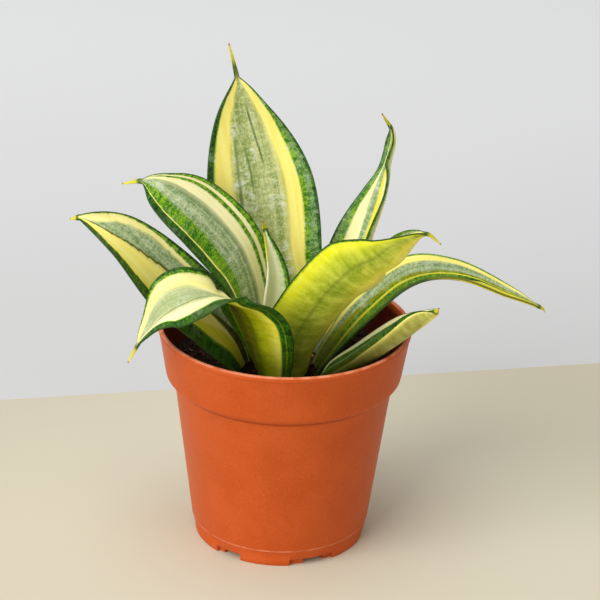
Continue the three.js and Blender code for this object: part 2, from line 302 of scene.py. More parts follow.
def add_spine(tree, colour, green_spine):
    """The dry spine over a leaf's colour: green at its root, then yellow, and brown at its point."""
    tip = sums(tree, "ADD", sums(tree, "MULTIPLY", attribute(tree, "tip"), 0.5), 0.5)
    spine = ramp(tree, tip, [
        (0.4, linear(*SPINE_GREEN, 0.0)), (0.5, linear(*SPINE_GREEN, 0.75)),
        (0.5 + green_spine / 3, linear(*SPINE_GREEN, 0.9)),
        (0.56 + green_spine / 2, linear(*SPINE_YELLOWS[0])), (0.95, linear(*SPINE_YELLOWS[1])),
        (0.99, linear(*SPINE_BROWN)),
    ])
    return mixed(tree, spine.outputs[1], colour, spine.outputs[0])


def leaf_skin(
    name, upper, lower, seed, blurs=(0.12, 0.3), ragged=0.45, bloom=0.5, green_spine=0.16, outline=0.85,
    foot=None, lines=(),
):
    """The striped skin of one leaf: stripes from the stripe map, mottle and veins from the blade map."""
    material, tree = new_material(name)
    stripes = node(tree, "SeparateXYZ", {0: node(tree, "UVMap", uv_map="stripes").outputs[0]})
    through, side = stripes.outputs[0], stripes.outputs[1]
    blade = node(tree, "UVMap", uv_map="blade").outputs[0]
    distance = node(tree, "SeparateXYZ", {0: blade}).outputs[1]
    to_margin = attribute(tree, "to_margin")
    place = (seed * 0.37, seed * 0.61, seed * 1.7)
    cross, fibres, grit, patches, veil, ribs, bands = (
        grain(tree, blade, 1, detail, roughness, place, (over, along, 1), distortion)
        for over, along, detail, roughness, distortion in SKIN_GRAINS.values()
    )
    wander = sums(
        tree, "ADD", centred(tree, cross, between(tree, to_margin, 2 * MM, 9 * MM, ragged, 0.06)),
        centred(tree, grit, 0.11), centred(tree, patches, 0.07),
    )

    def across(tissues, blur):
        """The light and the dark tone across one face."""
        position = sums(tree, "ADD", through, sums(tree, "MULTIPLY", wander, 1 / len(tissues)))
        return [ramp(tree, position, stripe_stops(tissues, tone, blur)) for tone in (0, 1)]

    def share(value, amount):
        return sums(tree, "MULTIPLY", value, amount)

    upper_light, upper_dark = across(upper, blurs[0])
    lower_light, lower_dark = across(lower, blurs[1])
    light = mixed(tree, side, lower_light.outputs[0], upper_light.outputs[0])
    dark = mixed(tree, side, lower_dark.outputs[0], upper_dark.outputs[0])
    pigment = blended(tree, side, lower_light.outputs[1], upper_light.outputs[1])
    speckled = sums(tree, "ADD", share(grit, 0.6), share(cross, 0.4))
    streaked = sums(tree, "ADD", share(fibres, 0.25), share(grit, 0.25), share(ribs, 0.5))
    blotched = sums(tree, "ADD", share(patches, 0.25), share(veil, 0.25), share(bands, 0.5))
    drawn = blended(tree, side, blotched, streaked)
    mottle = blended(tree, pigment, between(tree, drawn, 0.38, 0.62), between(tree, speckled, 0.4, 0.58))
    colour = mixed(tree, mottle, light, dark)
    whitish = sums(
        tree, "MULTIPLY", between(tree, veil, 0.46, 0.66), between(tree, patches, 0.42, 0.6),
        between(tree, pigment, 0.9, 0.5, 0.25, 1.0), between(tree, pigment, 0.1, 0.4), side, bloom,
    )
    colour = mixed(tree, whitish, colour, linear(*WAXY_WHITE))
    specks = sums(tree, "MULTIPLY", between(tree, grit, 0.64, 0.74), pigment, side, 0.35)
    colour = mixed(tree, specks, colour, linear(*PALE_SPECK))
    colour = add_lines(tree, colour, lines, distance, side, veil, grit)
    # Painted shade: the leaf darkens towards its base, where the other leaves shade it.
    if foot:
        start, end, strength, upper_share = foot
        shaded = sums(
            tree, "MULTIPLY", between(tree, distance, start * MM, end * MM, strength, 0.0),
            between(tree, side, 0.0, 1.0, 1.0, upper_share),
        )
        colour = mixed(tree, shaded, colour, linear(*FOOT_SHADE))
    edge = between(tree, to_margin, 0.12 * MM, 0.5 * MM, outline, 0.0)
    colour = add_spine(tree, mixed(tree, edge, colour, linear(*MARGIN_GREEN)), green_spine)
    rough = between(tree, veil, 0.3, 0.7, 0.36, 0.52)
    normal = bumped(tree, (fibres, 0.3, 0.2), (cross, 0.2, 0.2), (patches, 0.2, 0.6))
    finish_skin(
        tree, Base_Color=colour, Roughness=rough, Normal=normal, IOR=1.42, Specular_IOR_Level=0.26,
        Subsurface_Weight=0.2, Subsurface_Radius=(0.9, 1.0, 0.15), Subsurface_Scale=0.002,
    )
    return material


# ---------- leaves ----------
# Sizes are in millimetres from the pot's axis, as the CAD has them. Each midrib runs from the crown to
# the end of the spine; side is the way to the left margin and curl how far each half curls, in degrees.
# A face's stripes run from the left margin (1) to the right one (-1): first come the ways along the leaf
# where the places of their edges are given, then the stripes, then a row of places for each edge between
# them. A leaf without a lower table has the upper stripes on both faces.
# Under look, ragged is how far stripes stray near the margins, blurs how softly they meet on the upper and
# the lower face, bloom how white the wax is, outline how dark the margin is and green_spine how far green
# runs up the spine. foot is painted shade at the base, where the leaves shade each other: its start and end
# along the leaf, its strength on the lower face and its share of that on the upper one. Each of the lines,
# a vein or painted shade along a fold, has its face, ways along the leaf, places across there, width, colour
# and strength.
LEAF_CUT = 73.3  # the leaves start on the crown, inside the soil
LEAF_MIDDLE = 2.2
LEAF_EDGE = 0.9
THINNING = 0.4
SPINE_WIDTH = 1.8
SPINE_END = 0.5
STOUTEST = 1.4  # the most that a leaf is thick in its middle, in half widths
ACROSS = 56  # steps from margin to margin
ROUND = 4  # steps round a margin
RING = 2 * (ACROSS + ROUND)
BLADE_STEPS = 150
MIDRIB_SAMPLES = 400
AHEAD = 0.001  # share of a midrib to either side from which its direction is taken
SPINE_STEPS = 16

LEAVES = {
    "leaf_heart": {
        "width": 17.9, "spine": 5, "widest": 0.4, "foot": 0.5, "taper": 1.8,
        "midrib": [[1, -6.8, 69.3], [-3.9, -4.8, 97.1], [-3.9, -2.3, 119], [-8.9, -0.8, 135.8],
            [-9.9, -2.8, 140.8]],
        "side": [[186, 0], [186, 0], [188, 0], [190, 0], [191, 0]],
        "curl": [[107, 107], [107, 107], [97, 97], [97, 97], [97, 97]],
        "look": {"ragged": 0.25, "bloom": 0.1, "outline": 0.3, "blurs": (0.35, 0.35)},
        "upper": (
            [0, 45, 60, 75],
            ["bright_lime", "ivory", "ivory", "green", "deep_green"],
            [
                [1.3, 1.3, 0.9, 0.3],
                [0.72, 0.72, 0.6, 0.25],
                [-0.5, -0.45, -0.35, -0.3],
                [-0.8, -0.8, -0.75, -0.6],
            ],
        ),
    },
    "leaf_tall_back": {
        "width": 47.1, "spine": 14, "widest": 0.54, "foot": 0.28, "taper": 2.3,
        "midrib": [[0, 2.7, 69.3], [0, 10.1, 94.2], [-7.9, 15.1, 119.5], [-12.4, 21, 146.8],
            [-19.3, 30, 171.6], [-22.3, 33.9, 187.5], [-26.3, 33.9, 203.8]],
        "side": [[181, 0], [183, 0], [185, 0], [193, 4], [197, 7], [192, 7], [188, 5]],
        "curl": [[44, 40], [19, 15], [17, 13], [14, 10], [14, 10], [24, 20], [24, 20]],
        "look": {"ragged": 0.12, "bloom": 0.9, "green_spine": 0.4, "lines": (
            ("upper", [86, 119], [-0.18, -0.18], 1.0, VEIN_GREEN, 1.0),
            ("upper", [76, 101], [0.1, 0.12], 0.9, VEIN_GREEN, 0.85),
            ("upper", [30, 106], [0.37, 0.34], 1.5, VEIN_GREEN, 0.75),
        )},
        "upper": (
            [0, 45, 60, 80, 100, 110, 120, 128],
            ["deep_green", "lemon", "sage", "lemon", "green", "frosted_green", "deep_green"],
            [
                [0.85, 0.87, 0.87, 0.87, 0.86, 0.84, 0.84, 0.7],
                [0.5, 0.5, 0.5, 0.48, 0.45, 0.43, 0.35, 0.15],
                [-0.4, -0.42, -0.45, -0.47, -0.5, -0.52, -0.5, -0.3],
                [-0.64, -0.67, -0.72, -0.74, -0.77, -0.85, -0.88, -0.86],
                [-0.72, -0.75, -0.8, -0.82, -0.84, -0.9, -0.92, -0.9],
                [-0.94, -0.94, -0.94, -0.94, -0.94, -0.95, -0.95, -0.94],
            ],
        ),
    },
    "leaf_front_right": {
        "width": 42.3, "spine": 8, "widest": 0.65, "foot": 0.31, "taper": 3.3,
        "midrib": [[3.7, -13.7, 68.2], [4.7, -18.7, 93.6], [17.4, -25.2, 117], [30.6, -29.6, 130.3],
            [42.3, -32.1, 138.1], [53.1, -31.6, 149.9], [60.6, -33.1, 146.3]],
        "side": [[27, 0], [22, -12], [24, -9], [16, -10], [44, -19], [64, -25], [55, -22]],
        "curl": [[64, 45], [60, 11], [52, 18], [66, 34], [118, 40], [110, 14], [60, 20]],
        "look": {"blurs": (0.12, 0.42), "ragged": 0.1, "foot": (20, 50, 0.45, 0), "lines": (
            ("lower", [25, 45, 60, 72, 85, 98], [-0.14, -0.21, -0.27, -0.34, -0.51, -0.76], 2.0,
                FOLD_SHADE_OLIVE, 0.4),
        )},
        "upper": (
            [0, 60, 85, 100],
            ["green", "grey_green", "lemon", "grey_green", "lemon", "deep_green"],
            [
                [0.85, 0.85, 0.93, 0.9], [0.5, 0.5, 0.6, 0.8], [0.3, 0.3, 0.3, 0.5],
                [-0.4, -0.4, -0.4, -0.3], [-0.85, -0.85, -0.85, -0.8],
            ],
        ),
        "lower": (
            [0, 30, 45, 60, 72, 85, 98],
            ["deep_green", "lemon", "gold", "moss", "sulphur", "deep_green"],
            [
                [0.97, 0.965, 0.965, 0.965, 0.96, 0.96, 0.96],
                [0.8, 0.65, 0.55, 0.42, 0.3, 0.1, -0.2],
                [0.5, 0.4, 0.34, 0.24, 0.1, -0.12, -0.45],
                [-0.6, -0.6, -0.62, -0.64, -0.7, -0.8, -0.9],
                [-0.96, -0.975, -0.98, -0.98, -0.975, -0.97, -0.98],
            ],
        ),
    },
    "leaf_upper_left": {
        "width": 33.7, "spine": 8, "widest": 0.59, "foot": 0.34, "taper": 2.8,
        "midrib": [[-7.4, -6.8, 69.3], [-12.9, -4.3, 98.6], [-20.8, -4.3, 124.4], [-35.7, -3.8, 142.3],
            [-49.6, -2.8, 152.2], [-58.5, 0.2, 155.7], [-67.4, 2.2, 153.7]],
        "side": [[262, -10], [252, -48], [249, -45], [251, -44], [246, -54], [238, -59], [235, -62]],
        "curl": [[50, 30], [40, 20], [34, 14], [34, 14], [39, 19], [44, 24], [44, 24]],
        "look": {"ragged": 0.35, "lines": (
            ("upper", [20, 40, 50, 62, 90, 100], [-0.25, -0.32, -0.285, -0.275, -0.3, -0.41], 1.8,
                VEIN_GREEN, 0.45),
        )},
        "upper": (
            [0, 40, 50, 62, 90, 100],
            ["deep_green", "lemon", "green", "grey_green", "grey", "cream", "green", "cream", "green",
                "deep_green"],
            [
                [0.6, 0.62, 0.66, 0.7, 0.66, 0.62],
                [0.53, 0.55, 0.61, 0.685, 0.66, 0.62],
                [0.25, 0.3, 0.25, 0.28, 0.2, 0.1],
                [-0.22, -0.34, -0.31, -0.3, -0.32, -0.42],
                [-0.3, -0.42, -0.37, -0.35, -0.42, -0.55],
                [-0.6, -0.68, -0.64, -0.63, -0.72, -0.76],
                [-0.68, -0.76, -0.73, -0.73, -0.81, -0.84],
                [-0.8, -0.85, -0.84, -0.84, -0.88, -0.9],
                [-0.95, -0.96, -0.96, -0.96, -0.97, -0.97],
            ],
        ),
    },
    "leaf_back_right": {
        "width": 25.7, "spine": 10, "widest": 0.49, "foot": 0.42, "taper": 2.2,
        "midrib": [[10, 4.2, 71], [21, 15, 97], [30.6, 23.1, 123.7], [37.9, 33.1, 142.3],
            [40.8, 38.4, 153.4], [42, 37, 165.5], [37.2, 30.4, 176.8]],
        "side": [[140, 0], [143, 0], [135, -3], [119, -5], [106, -9], [127, -6], [148, -1]],
        "curl": [[41, 80], [39, 82], [34, 84], [15, 50], [14, 58], [38, 89], [52, 99]],
        "look": {"ragged": 0.2},
        "upper": (
            [0, 60, 75, 90, 97, 105],
            ["deep_green", "frosted_green", "green", "cream", "grey_green", "yellow", "cream", "green"],
            [
                [0.9, 0.93, 0.95, 0.9, 0.8, 0.7],
                [0.75, 0.78, 0.82, 0.6, 0.4, 0.4],
                [0.58, 0.61, 0.68, 0.55, 0.35, 0.3],
                [0.1, 0.12, 0.3, 0.45, 0.3, 0.2],
                [-0.12, -0.12, -0.08, 0.1, 0.1, 0.1],
                [-0.2, -0.22, -0.3, -0.1, -0.2, -0.3],
                [-0.9, -0.9, -0.9, -0.8, -0.8, -0.8],
            ],
        ),
    },
    "leaf_front_left": {
        "width": 37.7, "spine": 8, "widest": 0.52, "foot": 0.23, "taper": 2.1,
        "midrib": [[-3.9, -22.1, 71.3], [-11.6, -29.1, 109.5], [-22.8, -33.1, 120], [-35.2, -35, 121.9],
            [-47.1, -35.5, 117.5], [-55.5, -36.5, 106.1], [-62, -38.5, 93.2]],
        "side": [[314, -6], [327, -9], [324, -1], [304, -8], [282, -31], [269, -36], [290, -50]],
        "curl": [[44, 44], [4, 4], [19, 19], [9, 9], [15, 15], [17, 17], [46, 46]],
        "look": {"ragged": 0.12, "blurs": (0.16, 0.4), "foot": (15, 40, 0.6, 0), "lines": (
            ("upper", [56, 62, 66, 72, 80, 90, 99], [0.05, 0.06, 0.065, 0.19, 0.285, 0.4, 0.38], 0.5,
                FOLD_SHADE_OLIVE, 0.85),
            ("lower", [12, 40, 50, 60, 90], [0.82, 0.815, 0.705, 0.73, 0.84], 0.5, LINE_GREEN, 0.7),
            ("lower", [0, 50, 100], [-0.12, -0.12, -0.12], 2.4, FOLD_SHADE_OLIVE, 0.7),
        )},
        "upper": (
            [0, 58, 62, 66, 72, 80, 90, 98],
            ["deep_green", "cream", "grey", "pale_lemon", "green", "deep_green"],
            [
                [0.7, 0.3, 0.38, 0.55, 0.68, 0.76, 0.6, 0.5],
                [0.04, 0.05, 0.05, 0.18, 0.27, 0.385, 0.39, 0.3],
                [-0.1, -0.05, -0.08, -0.22, -0.38, -0.42, -0.45, -0.2],
                [-0.85, -0.85, -0.85, -0.8, -0.8, -0.82, -0.84, -0.84],
                [-0.9, -0.9, -0.9, -0.88, -0.88, -0.89, -0.9, -0.9],
            ],
        ),
        "lower": (
            [0, 15, 40, 44, 50, 60, 90],
            ["deep_green", "gold", "lime", "olive", "fold_shade", "deep_green"],
            [
                [0.66, 0.68, 0.66, 0.56, 0.52, 0.58, 0.72],
                [0.5, 0.5, 0.42, 0.36, 0.3, 0.34, 0.34],
                [0.2, 0.12, -0.02, -0.05, -0.05, -0.05, -0.05],
                [-0.2, -0.2, -0.2, -0.2, -0.2, -0.2, -0.2],
                [-0.6, -0.6, -0.6, -0.6, -0.6, -0.6, -0.6],
            ],
        ),
    },
    "leaf_far_right": {
        "width": 22.3, "spine": 5, "widest": 0.46, "foot": 0.38, "taper": 2.2,
        "midrib": [[9.2, -12, 69.3], [18.6, -8.3, 84.3], [32.8, -5.8, 104.1], [49.7, -5.8, 120.5],
            [69, -6.8, 122.9], [90.4, -8.2, 115.5], [103.8, -9.2, 110], [106.2, -7.7, 107.1]],
        "side": [[92, 10], [97, 21], [101, 22], [104, 15], [97, 10], [94, 18], [92, 21], [91, 19]],
        "curl": [[36, 72], [28, 66], [18, 46], [13, 41], [13, 41], [18, 46], [43, 71], [43, 71]],
        "look": {"ragged": 0.2, "bloom": 0.4, "foot": (18, 50, 0.85, 1)},
        "upper": (
            [0, 20, 30, 50, 60, 66, 75, 88, 97],
            ["green", "lemon", "grey_green", "olive", "green", "yellow", "green", "deep_green", "yellow"],
            [
                [0.93, 0.93, 0.93, 0.93, 0.92, 0.91, 0.9, 0.88, 0.85],
                [0.8, 0.8, 0.78, 0.65, 0.6, 0.6, 0.62, 0.62, 0.6],
                [0.8, 0.8, 0.6, 0.2, 0.1, 0.05, -0.02, 0.1, 0.2],
                [0.35, 0.3, 0.25, 0.05, -0.03, -0.1, -0.12, 0.0, 0.1],
                [0.1, 0.08, 0.06, -0.05, -0.08, -0.13, -0.14, -0.02, 0.08],
                [-0.06, -0.06, -0.06, -0.17, -0.2, -0.26, -0.26, -0.14, 0.0],
                [-0.7, -0.7, -0.7, -0.7, -0.7, -0.7, -0.7, -0.4, -0.02],
                [-1.0, -1.0, -1.0, -1.0, -1.0, -1.0, -1.0, -0.8, -0.1],
            ],
        ),
    },
    "leaf_far_left": {
        "width": 31.8, "spine": 4, "widest": 0.5, "foot": 0.42, "taper": 2.4,
        "midrib": [[-13.4, -5.8, 69.3], [-21.8, -10.7, 87.2], [-33.7, -11.7, 101.6], [-50.6, -11.7, 118],
            [-67.4, -10.7, 135.3], [-81.3, -8.7, 142.3], [-87.8, -5.8, 140.8]],
        "side": [[268, -15], [260, -42], [262, -46], [265, -48], [267, -43], [261, -48], [257, -51]],
        "curl": [[40, 40], [45, 45], [45, 45], [43, 43], [45, 45], [65, 65], [75, 75]],
        "look": {"ragged": 0.6, "blurs": (0.16, 0.3), "lines": (
            ("upper", [28, 38, 65, 80, 90, 102], [-0.28, -0.29, -0.31, -0.13, 0.05, 0.11], 0.5,
                FOLD_SHADE_OLIVE, 0.85),
        )},
        "upper": (
            [0, 10, 20, 28, 38, 65, 80, 90, 100],
            ["deep_green", "yellow", "lemon", "fold_shade", "grey_green", "pale_lemon", "green", "deep_green"],
            [
                [0.1, 0.05, 0.1, 0.27, 0.33, 0.52, 0.6, 0.68, 0.5],
                [-0.31, -0.29, -0.28, -0.2, 0.1, 0.52, 0.6, 0.68, 0.5],
                [-0.31, -0.29, -0.28, -0.28, -0.29, -0.31, -0.13, 0.05, 0.11],
                [-0.6, -0.6, -0.6, -0.45, -0.29, -0.31, -0.13, 0.05, 0.11],
                [-0.6, -0.6, -0.6, -0.5, -0.6, -0.72, -0.74, -0.6, 0.0],
                [-0.61, -0.61, -0.62, -0.66, -0.7, -0.82, -0.9, -0.93, -0.92],
                [-0.9, -0.9, -0.9, -0.9, -0.9, -0.93, -0.96, -0.97, -0.97],
            ],
        ),
    },
    "leaf_low_right": {
        "width": 26.8, "spine": 4, "widest": 0.65, "foot": 0.32, "taper": 2.4,
        "midrib": [[12.5, -19.7, 69.3], [19.9, -25.1, 82.7], [32.3, -26.6, 91.2], [48.7, -26.6, 103.6],
            [58.6, -27.6, 112.5], [61.1, -32.6, 118.5]],
        "side": [[77, 0], [88, -5], [87, -6], [81, -6], [66, -16], [58, -20]],
        "curl": [[43, 77], [48, 82], [53, 87], [58, 92], [71, 105], [71, 105]],
        "look": {"ragged": 0.1, "blurs": (0.1, 0.15), "foot": (26, 62, 0.9, 0.6)},
        "upper": (
            [0, 35, 55, 70],
            ["cream", "deep_green", "cream", "green", "deep_green"],
            [
                [0.9, 0.86, 0.84, 0.9],
                [0.62, 0.6, 0.6, 0.6],
                [-0.35, -0.35, -0.35, -0.3],
                [-0.85, -0.85, -0.85, -0.85],
            ],
        ),
        "lower": (
            [0, 20, 45, 68],
            ["deep_green", "lemon", "khaki", "lemon", "deep_green"],
            [
                [0.93, 0.93, 0.93, 0.93],
                [0.3, 0.2, 0.0, -0.3],
                [-0.72, -0.74, -0.8, -0.88],
                [-0.77, -0.79, -0.85, -0.93],
            ],
        ),
    },
}


def smooth_between(rows, t):
    """Catmull-Rom through rows of numbers, as the CAD has it."""
    last = len(rows) - 1
    at = min(max(t, 0), 1) * last
    i = min(int(at), last - 1)
    w = at - i
    values = []
    for k in range(len(rows[0])):
        b, c = rows[i][k], rows[i + 1][k]
        a = rows[i - 1][k] if i > 0 else 2 * b - c
        d = rows[i + 2][k] if i + 2 <= last else 2 * c - b
        leave, arrive = (c - a) / 2, (d - b) / 2
        cubed = 2 * b - 2 * c + leave + arrive
        squared = 3 * c - 3 * b - 2 * leave - arrive
        values.append(cubed * w**3 + squared * w**2 + leave * w + b)
    return values


def straight_between(places, values, at):
    """The value at a place, on straight lines between the given ones."""
    if at <= places[0]:
        return values[0]
    for i in range(1, len(places)):
        if at <= places[i]:
            w = (at - places[i - 1]) / (places[i] - places[i - 1])
            return values[i - 1] + (values[i] - values[i - 1]) * w
    return values[-1]


def half_width(leaf, share):
    """Half the leaf's width at a share of its blade, measured round its curl."""
    widest = leaf["widest"]
    if share < widest:
        full = leaf["foot"] + (1 - leaf["foot"]) * (1 - (1 - share / widest) ** 2)
    else:
        full = 1 - ((share - widest) / (1 - widest)) ** leaf["taper"]
    return full * leaf["width"] / 2


def leaf_sections(leaf):
    """One section of the leaf for each step along it."""
    ways = [i / MIDRIB_SAMPLES for i in range(MIDRIB_SAMPLES + 1)]
    points = [Vector(smooth_between(leaf["midrib"], way)) for way in ways]
    travelled = [0.0]
    for point, following in zip(points, points[1:]):
        travelled.append(travelled[-1] + (following - point).length)
    length = travelled[-1]
    blade = length - leaf["spine"]
    distances = [blade * i / BLADE_STEPS for i in range(BLADE_STEPS)]
    distances += [blade + leaf["spine"] * i / SPINE_STEPS for i in range(SPINE_STEPS + 1)]
    sections = []
    for distance in distances:
        t = straight_between(travelled, ways, distance)
        ahead = Vector(smooth_between(leaf["midrib"], t + AHEAD))
        behind = Vector(smooth_between(leaf["midrib"], t - AHEAD))
        along = (ahead - behind).normalized()
        turn, rise = (math.radians(a) for a in smooth_between(leaf["side"], t))
        side = Vector((math.cos(turn) * math.cos(rise), math.sin(turn) * math.cos(rise), math.sin(rise)))
        side = (side - along * side.dot(along)).normalized()
        share = min(distance / blade, 1)
        on_spine = max((distance - blade) / leaf["spine"], 0)
        spine_half = (SPINE_WIDTH * (1 - on_spine) + SPINE_END * on_spine) / 2
        sections.append({
            "middle": Vector(smooth_between(leaf["midrib"], t)),
            "side": side,
            "face": along.cross(side),
            "curl": [math.radians(a) for a in smooth_between(leaf["curl"], t)],
            "half": max(half_width(leaf, share), spine_half),
            "thin": 1 - THINNING * share,
            "distance": distance,
            "tip": (distance - blade) / leaf["spine"],
        })
    return sections


def section_point(section, step):
    """A point round one section: its place, its way across from -1 to 1, and its way to the margin."""
    half = section["half"]
    edge = min(LEAF_EDGE, half)
    middle = min(LEAF_MIDDLE * section["thin"], half * STOUTEST)
    roll = edge / 2
    step %= RING
    if step <= ACROSS:
        u = math.sin(math.pi / 2 * (1 - 2 * step / ACROSS))
        width, depth = u * (half - roll), 0.0
    elif step < ACROSS + ROUND:
        turn = math.pi * (step - ACROSS) / ROUND
        width, depth = -(half - roll) - roll * math.sin(turn), -roll + roll * math.cos(turn)
    elif step <= RING - ROUND:
        u = -math.sin(math.pi / 2 * (1 - 2 * (step - ACROSS - ROUND) / ACROSS))
        width, depth = u * (half - roll), -edge - (middle - edge) * (1 - u * u)
    else:
        turn = math.pi * (RING - step) / ROUND
        width, depth = (half - roll) + roll * math.sin(turn), -roll + roll * math.cos(turn)
    curl = section["curl"][0] if width > 0 else section["curl"][1]
    reach = half / curl
    angle = abs(width) / reach
    sign = 1 if width > 0 else -1
    place = (
        section["middle"]
        + section["side"] * (sign * (reach - depth) * math.sin(angle))
        + section["face"] * (reach - (reach - depth) * math.cos(angle))
    )
    return place, width / half, half - abs(width)


def stripe_place(face, u, distance):
    """How far through a face's stripes a point is, from 0 at the left margin to 1 at the right one."""
    at, tissues, edges = face
    borders = [1.0] + [straight_between(at, edge, distance) for edge in edges] + [-1.0]
    for i in range(len(tissues)):
        if u >= borders[i + 1] or i == len(tissues) - 1:
            width = max(borders[i] - borders[i + 1], 1e-4)
            return (i + min(max((borders[i] - u) / width, 0), 1)) / len(tissues)


def make_leaf(name, leaf, seed):
    """One closed leaf from a grid rolled round its sections, cut where it meets the crown."""
    sections = leaf_sections(leaf)
    rows = len(sections) - 1
    upper = leaf["upper"]
    lower = leaf.get("lower", upper)
    bm = bmesh.new()
    bmesh.ops.create_grid(bm, x_segments=RING, y_segments=rows, size=1.0)
    to_margin = bm.verts.layers.float.new("to_margin")
    tip = bm.verts.layers.float.new("tip")
    lines = [
        (bm.verts.layers.float.new(f"line_{number}"), line[1], line[2])
        for number, line in enumerate(leaf["look"].get("lines", ()))
    ]
    blade_map = bm.loops.layers.uv.new("blade")
    stripe_map = bm.loops.layers.uv.new("stripes")
    places = {}
    for vert in bm.verts:
        step = round((vert.co.x + 1) / 2 * RING)
        row = round((vert.co.y + 1) / 2 * rows)
        place, u, inward = section_point(sections[row], step)
        places[vert] = (step, row, u)
        vert[to_margin] = inward * MM
        vert[tip] = sections[row]["tip"]
        for layer, at, line_places in lines:
            beside = u - straight_between(at, line_places, sections[row]["distance"])
            vert[layer] = beside * sections[row]["half"] * MM
        vert.co = POT_AXIS + place * MM
    for face in bm.faces:
        steps = [places[vert][0] for vert in face.verts]
        on_top = max(steps) <= ACROSS + ROUND // 2 or min(steps) >= RING - ROUND // 2
        stripes = upper if on_top else lower
        for loop in face.loops:
            _, row, u = places[loop.vert]
            section = sections[row]
            loop[blade_map].uv = (u * section["half"] * MM, section["distance"] * MM)
            loop[stripe_map].uv = (stripe_place(stripes, u, section["distance"]), 1.0 if on_top else 0.0)
    bmesh.ops.remove_doubles(bm, verts=bm.verts, dist=0.01 * MM)
    parts = bm.verts[:] + bm.edges[:] + bm.faces[:]
    bmesh.ops.bisect_plane(bm, geom=parts, plane_co=(0, 0, LEAF_CUT * MM), plane_no=UP, clear_inner=True)
    bmesh.ops.holes_fill(bm, edges=[e for e in bm.edges if e.is_boundary], sides=0)
    bmesh.ops.recalc_face_normals(bm, faces=bm.faces)
    skin = leaf_skin(name + "_skin", upper[1], lower[1], seed, **leaf["look"])
    made = add_piece(name + "_blade", bm, [skin])
    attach(made, "root")
    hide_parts(name)


for number, (leaf_name, leaf_shape) in enumerate(LEAVES.items(), 1):
    make_leaf(leaf_name, leaf_shape, number)

# ---------- pot ----------
POT_STEPS = 360
NOTCHES = 6
FIRST_NOTCH = -66.0
NOTCH_KINDS = [  # in degrees from a notch's middle: what is open in the outer and inner half of the foot wall
    ((-15.6, 15.0), (-6.2, 8.5)),
    ((-8.8, 10.0), (-3.6, 10.0)),
]
NOTCH_HEIGHT = 3
FOOT_MIDDLE = 34.5  # radius between the outer and the inner half of the foot wall
FOOT_OUT = 36.0
FOOT_SLOPE_AT_ROOF = 36.42  # outside radius at the height of the notches' roof
FLOOR_UNDER = 4
FLOOR_TOP = 5.8
DRAIN_RADIUS = 4.5
DRAIN_CIRCLE = 26.0
DRILL_LENGTH = 20
LIP_INSIDE = 94.4  # height up to which the inside gets painted shade
POT_BEVEL = 0.25
SHARP_EDGE = math.radians(28)
POT_PROFILE = [  # outside from the foot up, then the inside down; radius and height
    (0, FLOOR_UNDER), (33, FLOOR_UNDER), (33, NOTCH_HEIGHT), (FOOT_MIDDLE, NOTCH_HEIGHT),
    (FOOT_SLOPE_AT_ROOF, NOTCH_HEIGHT), (37, 7.1), (37.5, 7.6), (45.6, 71), (47.8, 72.1), (49, 73.6),
    (49.3, 75), (52.1, 92.6), (52.5, 93), (52.5, 94.5), (52, 95), (51, 95), (50.5, 94.5), (47.9, 75),
    (44.2, 69.8), (35.1, FLOOR_TOP), (0, FLOOR_TOP),
]


def pot_plastic(name, inside_shade):
    """Moulded terracotta plastic with painted highlights on the ledge and lip and painted shade under the
    band; the second argument is for the inside, which painted shade darkens below the lip.
    """
    material, tree = new_material(name)
    place = node(tree, "TexCoord").outputs["Object"]
    clouds = grain(tree, place, 60, 3, 0.5)
    speck = grain(tree, place, 1100, 2, 0.6)
    patchy_noise = grain(tree, place, 150, 4, 0.6)
    peel = grain(tree, place, 1900, 2, 0.5)
    height = node(tree, "SeparateXYZ", {0: place}).outputs[2]
    colour = mixed(tree, between(tree, clouds, 0.3, 0.7), linear(191, 82, 32), linear(199, 89, 39))
    colour = mixed(tree, between(tree, speck, 0.58, 0.72, 0.0, 0.3), colour, linear(218, 116, 66))
    colour = mixed(tree, between(tree, speck, 0.42, 0.28, 0.0, 0.3), colour, linear(156, 54, 22))

    def ring(low, low_full, high_full, high):
        """1 on a ring of the pot, fading out below and above it; heights in mm."""
        return sums(
            tree, "MULTIPLY", between(tree, height, low * MM, low_full * MM),
            between(tree, height, high * MM, high_full * MM),
        )

    # Painted highlight: a lighter band along the ledge and along the top of the lip, broken up by noise.
    lip = between(tree, height, 94.3 * MM, 94.8 * MM)
    highlit_edges = sums(tree, "MAXIMUM", ring(6.8, 7.2, 7.7, 8.1), lip)
    edge_highlight = sums(tree, "MULTIPLY", highlit_edges, between(tree, patchy_noise, 0.35, 0.6, 0.2, 0.8))
    colour = mixed(tree, edge_highlight, colour, linear(232, 150, 116))
    # Painted shade in the corner under the band.
    band_corner_shade = sums(tree, "MULTIPLY", ring(69.8, 70.6, 71.2, 72.2), 0.45)
    colour = mixed(tree, band_corner_shade, colour, linear(120, 42, 14))
    # Painted shade: the inside wall goes dark maroon below the lip, with a patchy edge.
    if inside_shade:
        below_lip = between(tree, height, 94.6 * MM, 90.5 * MM)
        inside_shade_mask = sums(tree, "ADD", below_lip, centred(tree, patchy_noise, 0.5), clamp=True)
        colour = mixed(tree, sums(tree, "MULTIPLY", inside_shade_mask, 0.94), colour, linear(64, 17, 10))
    rough = between(tree, clouds, 0.3, 0.7, 0.36, 0.46)
    normal = bumped(tree, (peel, 0.14, 0.2), (clouds, 0.1, 1))
    finish_skin(tree, Base_Color=colour, Roughness=rough, Normal=normal, IOR=1.46, Specular_IOR_Level=0.1)
    return material


